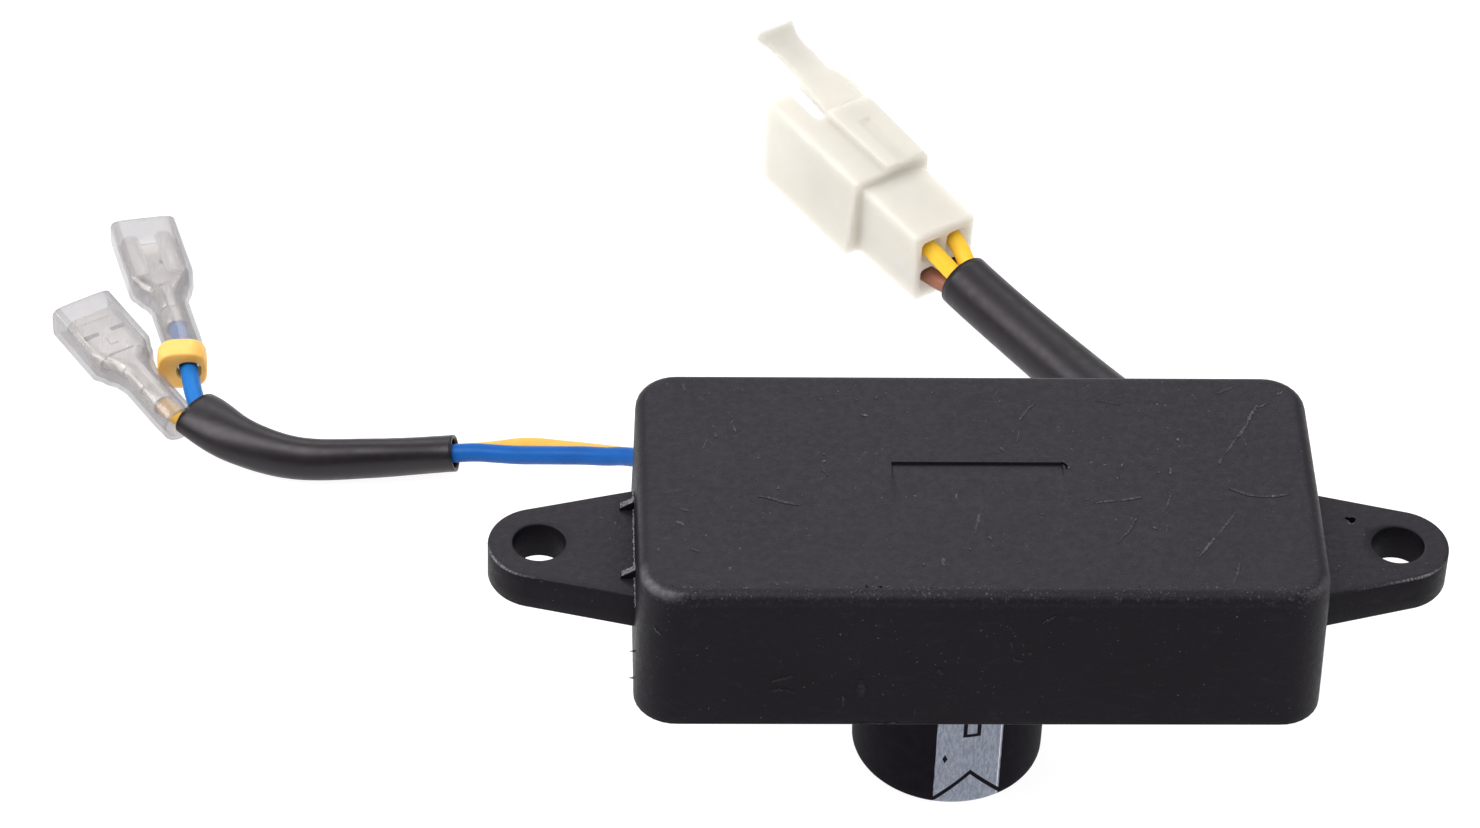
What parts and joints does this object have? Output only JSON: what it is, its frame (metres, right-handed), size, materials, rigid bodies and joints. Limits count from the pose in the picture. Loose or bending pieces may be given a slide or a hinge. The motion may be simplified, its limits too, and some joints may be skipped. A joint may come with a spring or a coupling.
{
  "type": "automatic voltage regulator",
  "caption": "Potted automatic voltage regulator for a small generator, with eared case, standing capacitor, insulated brush leads and a sleeved harness with a latching connector.",
  "frame": {"origin": "midway between the two ear holes in plan, at the level of the capacitor's end, on which the regulator stands", "axes": "+X from the brush lead side to the harness side along the ears, +Y towards the lead exits' side, +Z from the capacitor's end to the closed top of the case"},
  "size_m": [0.138, 0.1145, 0.0338],
  "materials": {
    "case_plastic": "fine matte moulding, scuffed",
    "potting": "cast resin, satin",
    "board": "fibre board",
    "capacitor_metal": "drawn can",
    "capacitor_film": "shrunk film, gloss",
    "tinned_metal": "tin plated sheet",
    "component_black": "moulded",
    "resistor_body": "coated",
    "zener_glass": "sealed",
    "film_capacitor_body": "moulded box",
    "trimmer_body": "moulded",
    "blue_insulation": "soft insulation, satin",
    "yellow_insulation": "soft insulation, satin",
    "brown_insulation": "soft insulation, satin",
    "black_insulation": "soft insulation, satin",
    "sleeving": "satin tube",
    "clear_boot": "clear soft plastic",
    "marker_plastic": "satin tube",
    "connector_nylon": "natural nylon, satin",
    "contact_metal": "stamped"
  },
  "bodies": {
    "root": {"housing": "case_plastic", "potting_compound": "potting", "circuit_board": "board", "capacitor_can": "capacitor_metal", "capacitor_sleeve": "capacitor_film", "capacitor_leads": "tinned_metal", "rectifier_diodes": "component_black", "power_transistor": "component_black", "resistors": "resistor_body", "zener_diodes": "zener_glass", "signal_transistors": "component_black", "small_electrolytic": "component_black", "film_capacitor": "film_capacitor_body", "trimmer": "trimmer_body", "blue_wire": "blue_insulation", "yellow_wire": "yellow_insulation", "brush_lead_sleeve": "sleeving", "spade_terminal_blue": "tinned_metal", "spade_terminal_yellow": "tinned_metal", "terminal_boot_blue": "clear_boot", "terminal_boot_yellow": "clear_boot", "marker_ring": "marker_plastic", "harness_yellow_wire_left": "yellow_insulation", "harness_yellow_wire_right": "yellow_insulation", "harness_brown_wire": "brown_insulation", "harness_black_wire": "black_insulation", "harness_sleeve": "sleeving", "connector_housing": "connector_nylon", "connector_contacts": "contact_metal"}
  },
  "joints": []
}
